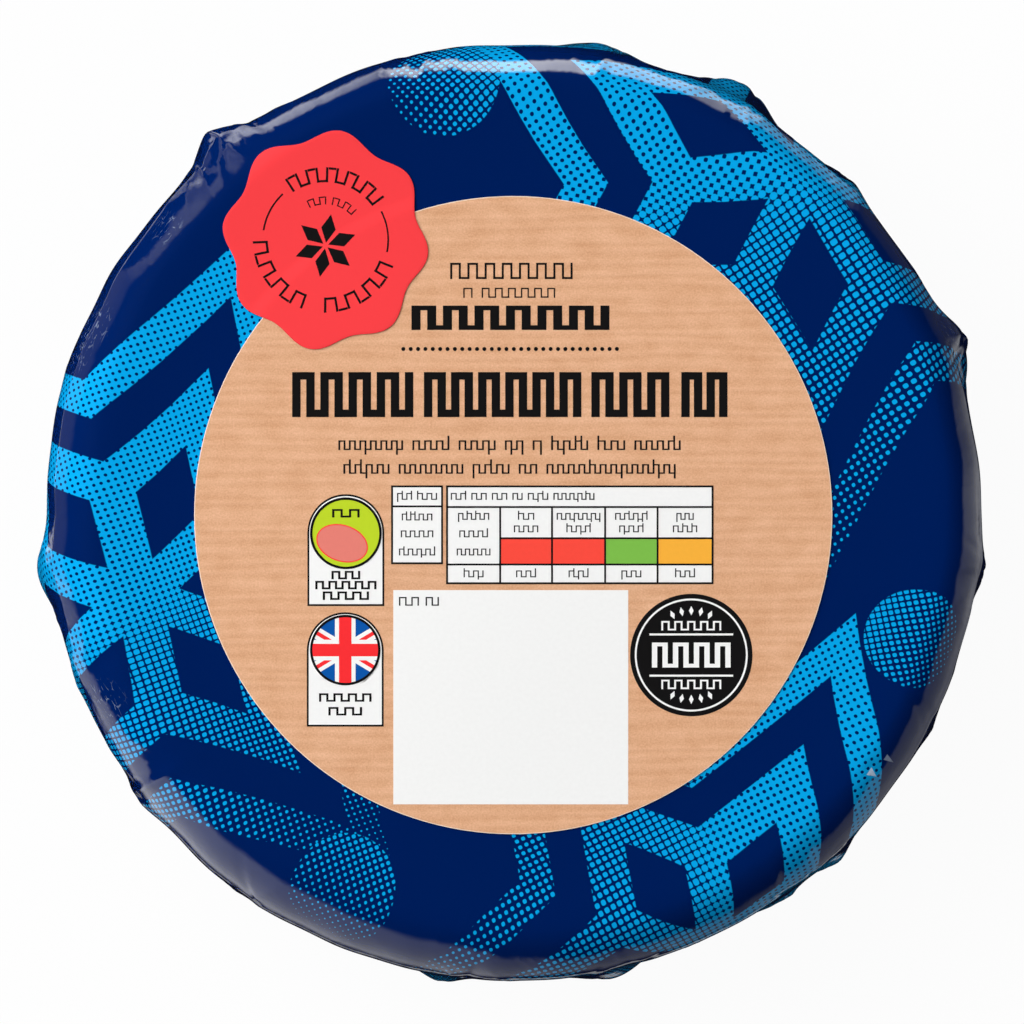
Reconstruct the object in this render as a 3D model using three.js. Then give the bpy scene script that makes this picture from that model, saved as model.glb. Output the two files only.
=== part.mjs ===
// A whole pork pie in printed shrink film: a round, shut pack with a nearly flat top. Small ears
// and pleats of gathered film stand out round its side. A round kraft paper label lies on top,
// and a scalloped seal laps over the label's edge and the film beside it.
// Millimetres and degrees, +Z up. The pack stands on z = 0, and the origin is under the middle
// of its box. Angles run counter-clockwise seen from above, from +X.

import * as THREE from 'three';

// The pack's form, without its ears and pleats
const rimRadius = 75;
const packHeight = 46;
const crown = 1.4; // rise of the top's middle above the start of the bend
const bendWidth = 8; // from the flat of the top out to the rim, on average
const bendSwing = 2; // wider by this much on one side and narrower on the other
const bendWidestAt = 225;
const bendSteepness = 1.3; // depth of the bend over its width
const bellyHeight = 29; // the side is upright from the bend down to here
const baseRadius = 64;
const footFullness = 2.6; // 2 would be an ellipse from belly to base, more is squarer
const topWave = 0.25; // slow waves of the taut film near the edge of the top
const topWaves = 3;

// Gathered film on the side. An ear has the angle and height of its crest, how far it stands
// out, how wide and tall it is, and how far its crest leans in degrees for each millimetre up.
const ears = [
  { at: 21, reach: 3.1, spread: 4.4, level: 30, span: 9, lean: 0.12 },
  { at: 45, reach: 1.2, spread: 2.8, level: 27, span: 9, lean: -0.15 },
  { at: 62, reach: 3.5, spread: 5.4, level: 21, span: 10, lean: 0.1 },
  { at: 79, reach: 1.8, spread: 5.0, level: 27, span: 10, lean: -0.08 },
  { at: 101, reach: 0.5, spread: 3.0, level: 20, span: 9, lean: 0.1 },
  { at: 129, reach: 3.2, spread: 3.6, level: 33, span: 7, lean: -0.2 },
  { at: 161, reach: 0.5, spread: 3.0, level: 22, span: 9, lean: 0.15 },
  { at: 187, reach: 2.0, spread: 4.0, level: 27, span: 10, lean: -0.1 },
  { at: 217, reach: 1.1, spread: 3.0, level: 25, span: 9, lean: 0.2 },
  { at: 235, reach: 0.9, spread: 2.8, level: 16, span: 9, lean: -0.1 },
  { at: 261, reach: 1.8, spread: 3.2, level: 17, span: 8, lean: 0.1 },
  { at: 282, reach: 2.1, spread: 4.6, level: 17, span: 8, lean: -0.15 },
  { at: 305, reach: 1.6, spread: 4.2, level: 19, span: 8, lean: 0.1 },
  { at: 313, reach: 1.9, spread: 3.4, level: 22, span: 9, lean: 0.15 },
  { at: 333, reach: 1.1, spread: 3.0, level: 24, span: 9, lean: -0.1 },
  { at: 353, reach: 1.6, spread: 2.8, level: 27, span: 10, lean: 0.1 },
];
const earPeak = 1.5; // exponent of an ear's section: 1 is a knife edge, 2 is a round swell
const earHollow = 0.15; // share of the reach that the film beside an ear draws in
const hollowSpread = 3; // width of that hollow over the ear's own
const pleatCount = 28;
const pleatDepth = 0.6; // at the foot, fading to nothing at the rim
const pleatStray = 1.4; // unevenness of the pleats' spacing

// The paper on top
const paper = 0.3; // thickness of the label and of the seal
const clearance = 0.15; // between the film, the label and the seal
const labelRadius = 50.9;
const labelCentre = { x: 0, y: -0.4 };
const sealRadius = 16.2;
const sealCentre = { x: -29.95, y: 43.5 };
const sealStretch = 0.58; // the seal is longer by this much each way along one line
const sealStretchAt = 94;
const sealLobes = 8;
const sealLobeDepth = 0.86;
const sealFirstLobeAt = 82;
const sealLap = { from: 1, to: 5 }; // the seal comes down to the film over this way past the label

// How finely each piece is divided. Film spokes stand on odd degrees, where the sharper crests are.
const filmSpokes = 180;
const filmFirstSpoke = 1;
const topRings = 4;
const bendRings = 5;
const uprightRings = 2;
const footRings = 9;
const footBunching = 1.4; // above 1, the rings below the belly start closer together
const labelSpokes = 72;
const labelRings = [0.33, 0.67, 1];
const sealSpokes = 80;
const sealRings = [0.3, 0.6, 0.78, 0.9, 1];

const colours = {
  film: 0x001d57,
  kraft: 0xe1ad86,
  seal: 0xfd4347,
};

const radians = THREE.MathUtils.degToRad;
const wave = (degrees) => Math.cos(radians(degrees));

// The smallest turn from one angle to another, between -180 and 180
function turnBetween(from, to) {
  return THREE.MathUtils.euclideanModulo(to - from + 180, 360) - 180;
}

function bendAt(degrees) {
  return bendWidth + bendSwing * wave(degrees - bendWidestAt);
}

// Height of the taut film at a distance from the middle, from the crowned top to the rim
function tautHeight(radius, degrees) {
  const bend = bendAt(degrees);
  const flat = rimRadius - bend;
  const share = Math.min(radius / flat, 1);
  const over = THREE.MathUtils.clamp((radius - flat) / bend, 0, 1);
  const rise = crown * (1 - share ** 2) ** 2;
  const ripple = topWave * share ** 2 * wave(topWaves * degrees);
  const drop = bend * bendSteepness * (1 - Math.sqrt(1 - over ** 2));
  return packHeight - crown + rise + ripple - drop;
}

function earReach(ear, degrees, z) {
  const away = Math.abs(turnBetween(ear.at + ear.lean * (z - ear.level), degrees)) / ear.spread;
  const up = (z - ear.level) / ear.span;
  const hollow = earHollow * Math.exp(-((away / hollowSpread) ** 2));
  const ridge = (Math.exp(-(away ** earPeak)) - hollow) / (1 - earHollow);
  return ear.reach * ridge * Math.exp(-(up ** 2));
}

function pleatReach(degrees, z) {
  const stray = pleatStray * wave(topWaves * degrees + 40);
  const ridge = Math.abs(Math.sin(radians((degrees * pleatCount) / 2) + stray));
  return pleatDepth * (ridge - 0.5) * THREE.MathUtils.clamp(1 - z / bellyHeight, 0, 1);
}

// How far the gathered film stands out from the taut form
function foldReach(degrees, z) {
  return ears.reduce((sum, ear) => sum + earReach(ear, degrees, z), pleatReach(degrees, z));
}

// Height of the film under a point of the top, with the ears' upper ends
function filmHeight(x, y) {
  const radius = Math.hypot(x, y);
  const degrees = THREE.MathUtils.radToDeg(Math.atan2(y, x));
  const taut = tautHeight(radius, degrees);
  const onBend = radius > rimRadius - bendAt(degrees);
  return onBend ? tautHeight(radius - foldReach(degrees, taut), degrees) : taut;
}

function polar(radius, degrees, z) {
  return new THREE.Vector3(radius * wave(degrees), radius * wave(degrees - 90), z);
}

// A closed surface through rings of equally many points, from a pole on top to one underneath.
// Rings run outwards over the top, down, and inwards underneath.
function stackRings(topPole, rings, bottomPole) {
  const spokes = rings[0].length;
  const points = [topPole, ...rings.flat(), bottomPole];
  const last = points.length - 1;
  const at = (ring, spoke) => 1 + ring * spokes + (spoke % spokes);
  const faces = [];
  for (let spoke = 0; spoke < spokes; spoke += 1) {
    faces.push(0, at(0, spoke), at(0, spoke + 1));
    for (let ring = 0; ring < rings.length - 1; ring += 1) {
      faces.push(at(ring, spoke), at(ring + 1, spoke), at(ring, spoke + 1));
      faces.push(at(ring, spoke + 1), at(ring + 1, spoke), at(ring + 1, spoke + 1));
    }
    faces.push(last, at(rings.length - 1, spoke + 1), at(rings.length - 1, spoke));
  }
  const geometry = new THREE.BufferGeometry().setFromPoints(points);
  geometry.setIndex(faces);
  geometry.computeVertexNormals();
  return geometry;
}

// The film round the pie as one solid: top, bend, upright side, foot and flat base
function wrappedPieGeometry() {
  const angles = Array.from(
    { length: filmSpokes },
    (_, spoke) => filmFirstSpoke + (spoke * 360) / filmSpokes,
  );
  const ringOf = (point) => angles.map(point);
  const folded = (radius, degrees, z) => polar(radius + foldReach(degrees, z), degrees, z);
  const rings = [];
  for (let ring = 1; ring <= topRings; ring += 1) {
    rings.push(ringOf((degrees) => {
      const radius = ((rimRadius - bendAt(degrees)) * ring) / topRings;
      return polar(radius, degrees, tautHeight(radius, degrees));
    }));
  }
  for (let ring = 1; ring <= bendRings; ring += 1) {
    rings.push(ringOf((degrees) => {
      const bend = bendAt(degrees);
      const radius = rimRadius - bend + bend * wave(90 - (90 * ring) / bendRings);
      return folded(radius, degrees, tautHeight(radius, degrees));
    }));
  }
  for (let ring = 1; ring <= uprightRings; ring += 1) {
    rings.push(ringOf((degrees) => {
      const rimHeight = tautHeight(rimRadius, degrees);
      const z = THREE.MathUtils.lerp(rimHeight, bellyHeight, ring / uprightRings);
      return folded(rimRadius, degrees, z);
    }));
  }
  for (let ring = 1; ring <= footRings; ring += 1) {
    const turn = 90 * (ring / footRings) ** footBunching;
    const inward = Math.max(wave(turn), 0) ** (2 / footFullness);
    const downward = wave(turn - 90) ** (2 / footFullness);
    const radius = THREE.MathUtils.lerp(baseRadius, rimRadius, inward);
    const z = ring < footRings ? bellyHeight * (1 - downward) : 0;
    rings.push(ringOf((degrees) => folded(radius, degrees, z)));
  }
  return stackRings(polar(0, 0, packHeight), rings, polar(0, 0, 0));
}

// A sheet of paper of any round outline, lying at a height over the pack that follows the film
function paperGeometry(centre, outline, ringShares, spokes, underside) {
  const angles = Array.from({ length: spokes }, (_, spoke) => (spoke * 360) / spokes);
  const ringAt = (share, lift) => angles.map((degrees) => {
    const point = polar(share * outline(degrees), degrees, 0);
    point.x += centre.x;
    point.y += centre.y;
    point.z = underside(point.x, point.y) + lift;
    return point;
  });
  const poleAt = (lift) => {
    const z = underside(centre.x, centre.y) + lift;
    return new THREE.Vector3(centre.x, centre.y, z);
  };
  const upper = ringShares.map((share) => ringAt(share, paper));
  const lower = ringShares.map((share) => ringAt(share, 0)).reverse();
  return stackRings(poleAt(paper), [...upper, ...lower], poleAt(0));
}

function labelGeometry() {
  const underside = (x, y) => filmHeight(x, y) + clearance;
  return paperGeometry(labelCentre, () => labelRadius, labelRings, labelSpokes, underside);
}

// The seal lies on the label, and past the label's edge it comes down to the film
function sealGeometry() {
  const outline = (degrees) => {
    const stretch = sealStretch * wave(2 * (degrees - sealStretchAt));
    const lobe = sealLobeDepth * wave(sealLobes * (degrees - sealFirstLobeAt));
    return sealRadius + stretch + lobe;
  };
  const underside = (x, y) => {
    const past = Math.hypot(x - labelCentre.x, y - labelCentre.y) - labelRadius;
    const raised = 1 - THREE.MathUtils.smoothstep(past, sealLap.from, sealLap.to);
    return filmHeight(x, y) + clearance + (paper + clearance) * raised;
  };
  return paperGeometry(sealCentre, outline, sealRings, sealSpokes, underside);
}

function addPiece(group, name, geometry, colour, roughness) {
  const material = new THREE.MeshStandardMaterial({ color: colour, roughness, metalness: 0 });
  const mesh = new THREE.Mesh(geometry, material);
  mesh.name = name;
  group.add(mesh);
}

const pack = new THREE.Group();
addPiece(pack, 'wrapped_pie', wrappedPieGeometry(), colours.film, 0.25);
addPiece(pack, 'round_label', labelGeometry(), colours.kraft, 0.8);
addPiece(pack, 'seal_sticker', sealGeometry(), colours.seal, 0.6);

// The ears reach unequally far, so the pack moves until the middle of its box is at the origin
const middle = new THREE.Box3().setFromObject(pack).getCenter(new THREE.Vector3());
pack.position.set(-middle.x, -middle.y, 0);

export default pack;
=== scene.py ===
import math
import random

import bpy
import numpy as np
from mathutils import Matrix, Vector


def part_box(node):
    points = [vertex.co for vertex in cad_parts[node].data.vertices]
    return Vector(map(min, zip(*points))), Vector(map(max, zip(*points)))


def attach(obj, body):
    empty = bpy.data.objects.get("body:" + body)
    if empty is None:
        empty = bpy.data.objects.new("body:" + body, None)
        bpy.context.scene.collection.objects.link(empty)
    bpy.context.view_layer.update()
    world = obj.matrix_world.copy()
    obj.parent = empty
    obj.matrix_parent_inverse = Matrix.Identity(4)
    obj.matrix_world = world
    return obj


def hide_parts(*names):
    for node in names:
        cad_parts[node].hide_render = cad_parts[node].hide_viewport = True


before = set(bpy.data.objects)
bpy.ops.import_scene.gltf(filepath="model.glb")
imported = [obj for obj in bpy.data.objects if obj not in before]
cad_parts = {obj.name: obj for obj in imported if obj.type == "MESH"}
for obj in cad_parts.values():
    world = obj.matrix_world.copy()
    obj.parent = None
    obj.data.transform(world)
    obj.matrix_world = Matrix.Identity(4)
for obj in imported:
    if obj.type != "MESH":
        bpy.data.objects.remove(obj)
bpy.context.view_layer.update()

# A whole pork pie in printed shrink film, with a kraft paper label and a scalloped seal on top.
# Everything is modelled in millimetres round the middle of the pack, and each finished piece is
# brought to metres and to the pack's place in the frame.

mm = 0.001
fullTurn = 2 * math.pi
hair = 0.01  # in millimetres, to tell what is level or equally far out


# Where the solids are.

def middleOf(node):
    low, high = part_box(node)
    return (low + high) / 2 / mm


labelOffset = {"x": 0.0, "y": -0.4}  # from the middle of the pack to the middle of the label
packAt = middleOf("round_label")
packAt.x -= labelOffset["x"]
packAt.y -= labelOffset["y"]
packAt.z = 0
sealOffset = middleOf("seal_sticker") - packAt
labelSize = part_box("round_label")
labelRadius = (labelSize[1].x - labelSize[0].x) / 2 / mm


# Shader maths.

class Wire:  # a socket of a node tree that takes part in sums
    def __init__(self, tree, socket=None):
        self.tree = tree
        self.socket = socket

    def node(self, kind, settings=None, inputs=None, output=0):
        new = self.tree.nodes.new(kind)
        for name, value in (settings or {}).items():
            setattr(new, name, value)
        for name, value in (inputs or {}).items():
            if isinstance(value, Wire):
                self.tree.links.new(value.socket, new.inputs[name])
            else:
                new.inputs[name].default_value = value
        return Wire(self.tree, new.outputs[output])

    def maths(self, operation, *values):
        inputs = dict(enumerate((self, *values)))
        return self.node("ShaderNodeMath", {"operation": operation}, inputs)

    def parts(self):
        split = self.node("ShaderNodeSeparateXYZ", None, {0: self}).socket.node
        return [Wire(self.tree, output) for output in split.outputs]

    def within(self, low, high):  # a soft step from 0 at low to 1 at high
        settings = {"interpolation_type": "SMOOTHSTEP"}
        inputs = {"Value": self, "From Min": low, "From Max": high}
        return self.node("ShaderNodeMapRange", settings, inputs)

    def blend(self, first, second):  # a colour between two, by this value
        inputs = {0: self, 6: first, 7: second}
        return self.node("ShaderNodeMix", {"data_type": "RGBA"}, inputs, output=2)

    def clamp(self):
        return self.node("ShaderNodeClamp", None, {0: self})

    def ramp(self, stops):  # three values and a fourth that change from stop to stop
        ramp = self.node("ShaderNodeValToRGB").socket.node
        self.tree.links.new(self.socket, ramp.inputs[0])
        points = ramp.color_ramp.elements
        while len(points) < len(stops):
            points.new(0.5)
        for point, (place, *values) in zip(points, stops):
            point.position = place
            point.color = values
        return (*Wire(self.tree, ramp.outputs[0]).parts(), Wire(self.tree, ramp.outputs[1]))

    def noise(self, x, y, z, detail, roughness=0.5):
        place = self.node("ShaderNodeCombineXYZ", None, {0: x, 1: y, 2: z})
        return self.node("ShaderNodeTexNoise", None, {
            "Vector": place, "Scale": 1.0, "Detail": detail, "Roughness": roughness})

    def __add__(self, other):
        return self.maths("ADD", other)

    def __sub__(self, other):
        return self.maths("SUBTRACT", other)

    def __rsub__(self, other):
        inputs = {0: other, 1: self}
        return self.node("ShaderNodeMath", {"operation": "SUBTRACT"}, inputs)

    def __mul__(self, other):
        return self.maths("MULTIPLY", other)

    def __truediv__(self, other):
        return self.maths("DIVIDE", other)

    __radd__ = __add__
    __rmul__ = __mul__


def paint(red, green, blue):  # a colour picked on screen, 0 to 255, as the shader wants it
    def linear(value):
        value /= 255
        return value / 12.92 if value <= 0.04045 else ((value + 0.055) / 1.055) ** 2.4
    return (linear(red), linear(green), linear(blue), 1)


def newMaterial(name, colour, roughness, specular=0.5):
    material = bpy.data.materials.new(name)
    material.use_nodes = True
    material.diffuse_color = colour
    shader = material.node_tree.nodes["Principled BSDF"]
    shader.inputs["Base Color"].default_value = colour
    shader.inputs["Roughness"].default_value = roughness
    shader.inputs["Specular IOR Level"].default_value = specular
    return material, Wire(material.node_tree), shader


def plug(value, shader, socket):
    value.tree.links.new(value.socket, shader.inputs[socket])


def addRelief(shader, height, strength, depth):
    bump = height.node("ShaderNodeBump", None, {
        "Height": height, "Strength": strength, "Distance": depth})
    plug(bump, shader, "Normal")


def objectPlace(wire):  # Object coordinates in millimetres from the middle of the pack
    place = wire.node("ShaderNodeTexCoord", None, None, "Object")
    x, y, z = place.parts()
    return x / mm - packAt.x, y / mm - packAt.y, z / mm


# Modelling helpers.

def deselectAll():
    bpy.ops.object.select_all(action="DESELECT")


def addRings(name, stations, spokes, closed=True):
    # a surface of revolution: a small ring or disc, then its edge drawn out ring by ring
    deselectAll()
    radius, height = stations[0]
    bpy.ops.mesh.primitive_circle_add(
        vertices=spokes, radius=radius, location=(0, 0, height),
        fill_type="TRIFAN" if closed else "NOTHING")
    piece = bpy.context.object
    piece.name = piece.data.name = name
    bpy.ops.object.mode_set(mode="EDIT")
    bpy.ops.mesh.select_mode(type="EDGE")
    bpy.ops.mesh.select_all(action="SELECT")
    if closed:
        bpy.ops.mesh.region_to_loop()
    for nextRadius, nextHeight in stations[1:]:
        grow = nextRadius / radius
        bpy.ops.mesh.extrude_edges_move(
            TRANSFORM_OT_translate={"value": (0, 0, nextHeight - height)})
        bpy.ops.transform.resize(
            value=(grow, grow, 1), center_override=(0, 0, nextHeight))
        radius, height = nextRadius, nextHeight
    bpy.ops.object.mode_set(mode="OBJECT")
    bpy.ops.object.transform_apply(location=True, rotation=True, scale=True)
    return piece


def applyModifier(piece, kind, **settings):
    bpy.context.view_layer.objects.active = piece
    modifier = piece.modifiers.new(kind.title(), kind)
    for name, value in settings.items():
        setattr(modifier, name, value)
    bpy.ops.object.modifier_apply(modifier=modifier.name)


def readPoints(piece, values="co"):
    points = np.empty(len(piece.data.vertices) * 3)
    piece.data.vertices.foreach_get(values, points)
    return points.reshape(-1, 3)


def writePoints(piece, points):
    piece.data.vertices.foreach_set("co", points.ravel())
    piece.data.update()


def polarOf(points):
    radius = np.hypot(points[:, 0], points[:, 1])
    return radius, np.degrees(np.arctan2(points[:, 1], points[:, 0]))


def softStep(values, low, high):
    share = np.clip((values - low) / (high - low), 0, 1)
    return share * share * (3 - 2 * share)


def finishPiece(piece, material, angle=None):
    points = readPoints(piece)
    writePoints(piece, (points + np.array(packAt)) * mm)
    deselectAll()
    piece.select_set(True)
    bpy.context.view_layer.objects.active = piece
    if angle is not None:
        bpy.ops.object.shade_smooth_by_angle(angle=math.radians(angle))
    if not piece.data.materials:
        piece.data.materials.append(material)
    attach(piece, "root")


# The film's taut form, the same as the solid's.

form = {
    "rimRadius": 75.0,
    "height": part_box("wrapped_pie")[1].z / mm,
    "crown": 1.4,
    "bendWidth": 8.0,
    "bendSwing": 2.0,  # wider by this on one side and narrower on the other
    "bendWidestAt": 225.0,
    "bendSteepness": 1.3,  # its height for its width
    "bellyHeight": 29.0,
    "baseRadius": 64.0,
    "footFullness": 2.6,  # 2 for a quarter of an ellipse, and more for a squarer foot
    "topWave": 0.25,
    "topWaves": 3,
}


def wave(degrees):
    return np.cos(np.radians(degrees))


def bendAt(degrees):
    return form["bendWidth"] + form["bendSwing"] * wave(degrees - form["bendWidestAt"])


def edgeHeight(degrees, share=1.0):
    ripple = form["topWave"] * share ** 2 * wave(form["topWaves"] * degrees)
    return form["height"] - form["crown"] + ripple


def tautHeight(radius, degrees):
    bend = bendAt(degrees)
    flat = form["rimRadius"] - bend
    share = np.minimum(radius / flat, 1)
    over = np.clip((radius - flat) / bend, 0, 1)
    rise = form["crown"] * (1 - share ** 2) ** 2
    drop = bend * form["bendSteepness"] * (1 - np.sqrt(1 - over ** 2))
    return edgeHeight(degrees, share) + rise - drop


def topOfFilm(points):
    return tautHeight(*polarOf(points))


# The shape of the film.

filmShape = {
    "spokes": 216,  # before subdividing twice
    "topShares": (0.08, 0.4, 0.75, 1.0),  # where the flat top has rings
    "bendSteps": 9,
    "uprightSteps": 2,
    "footSteps": 8,
    "footBunching": 1.3,
    "baseShares": (0.92, 0.65, 0.38, 0.1),
    "smoothAngle": 60,
}

# an ear: its angle, reach, width in degrees, height, tallness, lean in degrees for each
# millimetre up, and its peak, from 1 for a knife edge to 2 and more for a round swell
ears = (
    (21, 3.1, 4.4, 30, 9, 0.12, 1.4),
    (45, 1.3, 2.9, 30, 9, -0.15, 2.2),
    (62, 3.4, 5.6, 23, 10, 0.1, 2.0),
    (79, 1.8, 5.0, 27, 9, -0.08, 2.2),
    (101, 0.5, 3.0, 20, 9, 0.1, 1.8),
    (129, 3.2, 3.6, 33, 7, -0.2, 1.4),
    (161, 0.5, 3.0, 22, 9, 0.15, 1.8),
    (187, 1.9, 4.1, 27, 10, -0.1, 2.1),
    (217, 1.1, 3.1, 25, 9, 0.2, 2.0),
    (235, 0.9, 2.9, 16, 9, -0.1, 2.0),
    (261, 1.8, 3.2, 17, 8, 0.1, 2.0),
    (282, 2.1, 4.6, 17, 8, -0.15, 2.0),
    (305, 1.6, 4.2, 19, 8, 0.1, 1.6),
    (313, 1.9, 3.4, 22, 9, 0.15, 1.6),
    (333, 1.1, 3.0, 24, 9, -0.1, 1.6),
    (353, 1.6, 2.8, 27, 10, 0.1, 1.6),
)

folds = {
    "earHollow": 0.15,
    "hollowSpread": 3.0,
    "hollowPeak": 2,
    "sideInset": (11, 6),  # from the rim inwards, where the folds of the side begin and are full
    "floorFade": 6,  # fine folds die out over this height above the floor
    "bigPleats": 28,
    "bigPleatDepth": 0.6,
    "bigPleatStray": 1.4,
    "bigPleatStart": 40,
    "baseMargin": 0.5,
    "seed": 11,
}

# each pair holds the least and the most of a random draw; leans are in degrees for each
# millimetre, a share is of the depth, and a tuck's stray, rise and tallness are shares of its
# ear's spread and tallness
finePleats = {
    "count": 90,
    "depth": 0.42,
    "share": (-1.0, 0.8),
    "spread": (0.55, 1.3),
    "from": (8, 33),
    "lean": (-0.22, 0.22),
    "fade": (6, 14),
    "peak": 1.7,
}
tucks = {
    "perEar": 5,
    "widestReach": 2.5,
    "depth": 0.32,
    "share": (0.4, 1.2),
    "stray": (-1.3, 1.3),
    "lean": (-0.35, 0.35),
    "rise": (-0.6, 0.6),
    "tallness": (0.35, 0.8),
    "spread": (0.45, 0.8),
    "peak": 1.6,
}
gathers = {
    "count": 46,
    "depth": 0.7,
    "share": (0.4, 1),
    "lean": (-0.18, 0.18),
    "spread": (1.6, 3.4),
    "peak": 1.6,
    "deepest": 1.4,
    "patchRadius": 20.0,
    "patchEdge": 6,
    "rimEdge": 9,
}

# small relief, in millimetres along the film: "along" runs from the middle of the top over the
# bend and down the side, "round" runs round the rim
creases = {
    "waves": 8,
    "waveDepth": 0.04,
    "wavesRound": (9, 40),
    "waveLean": (-6, 6),
    "waveFrom": (67, 76),  # here the waves grow in
    "waveTo": (118, 122),  # and here they die out
    "steepSide": 0.6,  # the two sides of a fold, for its width
    "gentleSide": 1.7,
    "foldPeak": 1.5,
    "foldStart": (-3, 1),  # a fold grows in over this way along its length
    "foldEnd": 3,  # and the higher this is, the more suddenly it ends
    "fansPerReach": 1.5,  # creases that fan out from an ear, for each millimetre of its reach
    "fewestFans": 3,
    "firstFan": (1.5, 0.9),  # width and depth of the first
    "otherFans": 0.8,  # and depth of the others
    "deepestReach": 2,
    "raisedShare": 0.6,
    "fanStray": (-0.9, 0.9),
    "fanFrom": (74.0, 84.0),
    "fanHalfAngle": 48,
    "fanLength": (4.0, 10.0),
    "fanWidth": (0.5, 1.0),
    "fanDepth": (0.05, 0.17),
    "strays": 22,
    "strayFrom": (78, 90),
    "strayTurn": (-70, 70),
    "strayLength": (4, 9),
    "strayWidth": (0.4, 0.7),
    "strayDepth": (-0.14, 0.14),
    "rimLineAt": 77.8,
    "rimLineWidth": 0.7,
    "rimLineDepth": 0.16,
    "rimLinePeak": 1.3,
    "rimLineSway": ((0.9, 3, 50), (0.5, 7, 0)),  # height, count and start of each wave
    "rimLineShown": ((1, 2, 20), (0.8, 5, 110)),  # the line shows where these waves are high
    "rimLineFade": (-0.5, 0.6),
    "highLineAt": 172,  # round here the line lies higher, on the bend
    "highLineSpread": 34,
    "highLinePeak": 4,
    "highLineRise": 2.4,
    "highLineCalm": 0.8,  # and sways less by this share
    "seed": 23,
}

# a crumple has creases in a few directions, facets that vary in size by these shares, and an
# edge; each has its angle, place along the film, radius, depth and the size of its facets
facets = {"directions": 3, "sizes": (0.8, 1.3), "edge": 1.5}
crumples = (
    (128, 76.0, 8.5, 0.34, 6.5),
    (137, 75.5, 6.0, 0.28, 5.0),
    (146, 73.5, 5.0, 0.1, 4.5),
    (110, 76.5, 6.5, 0.08, 6.0),
    (62, 82.0, 8.0, 0.12, 6.0),
    (48, 79.0, 5.0, 0.1, 4.5),
    (21, 79.0, 7.0, 0.28, 4.0),
    (324, 71.0, 2.4, 0.14, 2.2),
    (311, 80.0, 6.0, 0.16, 4.5),
    (283, 82.0, 6.0, 0.18, 4.5),
    (262, 82.0, 6.0, 0.18, 4.5),
    (215, 77.0, 6.5, 0.34, 5.2),
    (199, 76.0, 8.0, 0.3, 4.4),
    (187, 80.0, 6.0, 0.16, 4.5),
)

# a pleat by itself: its angle, where it starts along the film, its turn from straight up, its
# length, width and depth
pleats = (
    (216, 84.0, 6, 13.0, 0.9, 0.3),
    (126.5, 83.0, -22, 12.0, 1.0, 0.32),
    (131, 82.0, 14, 10.0, 0.8, -0.24),
    (121, 82.0, -40, 9.0, 0.8, 0.18),
    (202, 84.0, -35, 12.0, 0.8, 0.2),
    (192, 83.0, 30, 10.0, 0.7, 0.18),
    (58, 84.0, 24, 10.0, 0.9, 0.22),
    (104, 82.0, 30, 7.0, 0.7, 0.14),
)


def filmStations():
    flat = form["rimRadius"] - form["bendWidth"]
    edge = form["height"] - form["crown"]
    depth = form["bendWidth"] * form["bendSteepness"]
    stations = [(flat * share, edge + form["crown"] * (1 - share ** 2) ** 2)
                for share in filmShape["topShares"]]
    for step in range(filmShape["bendSteps"]):
        turn = math.pi / 2 * (step + 1) / filmShape["bendSteps"]
        stations.append((flat + form["bendWidth"] * math.sin(turn),
                         edge - depth * (1 - math.cos(turn))))
    for step in range(filmShape["uprightSteps"]):
        share = (step + 1) / filmShape["uprightSteps"]
        rimHeight = edge - depth
        stations.append((form["rimRadius"],
                         rimHeight + (form["bellyHeight"] - rimHeight) * share))
    for step in range(filmShape["footSteps"]):
        share = (step + 1) / filmShape["footSteps"]
        turn = math.pi / 2 * share ** filmShape["footBunching"]
        inward = max(math.cos(turn), 0) ** (2 / form["footFullness"])
        downward = math.sin(turn) ** (2 / form["footFullness"])
        width = form["rimRadius"] - form["baseRadius"]
        stations.append((form["baseRadius"] + width * inward,
                         form["bellyHeight"] * (1 - downward)))
    stations += [(form["baseRadius"] * share, 0) for share in filmShape["baseShares"]]
    return stations


def lengthAlongFilm(stations):
    # from the middle of the top, for any point of the section, by its turn round the inside
    middle = form["height"] / 2
    section = np.array([(0, form["height"]), *stations, (0, 0)])
    steps = np.hypot(*np.diff(section, axis=0).T)
    along = np.concatenate(([0], np.cumsum(steps)))
    turns = -np.arctan2(section[:, 1] - middle, section[:, 0])

    def lengthAt(radius, height):
        return np.interp(-np.arctan2(height - middle, radius), turns, along)
    return lengthAt, along[-1]


def mapFilm(film, along, degrees, longest):
    # the print lies on the film as on a flat sheet laid over the pack from its middle
    reach = along / longest / 2
    flat = np.stack((0.5 + reach * wave(degrees), 0.5 + reach * wave(degrees - 90)), axis=1)
    corners = np.empty(len(film.data.loops), dtype=int)
    film.data.loops.foreach_get("vertex_index", corners)
    while film.data.uv_layers:
        film.data.uv_layers.remove(film.data.uv_layers[0])
    sheet = flat[corners]
    # under the base the sheet's rim is gathered to a point, which takes each face's own direction
    point = np.argmax(along)
    for face in film.data.polygons:
        if point in face.vertices:
            loops = np.array(face.loop_indices)
            there = corners[loops] == point
            sheet[loops[there]] = sheet[loops[~there]].mean(axis=0)
    layer = film.data.uv_layers.new(name="filmSheet")
    layer.data.foreach_set("uv", sheet.ravel())


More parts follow.
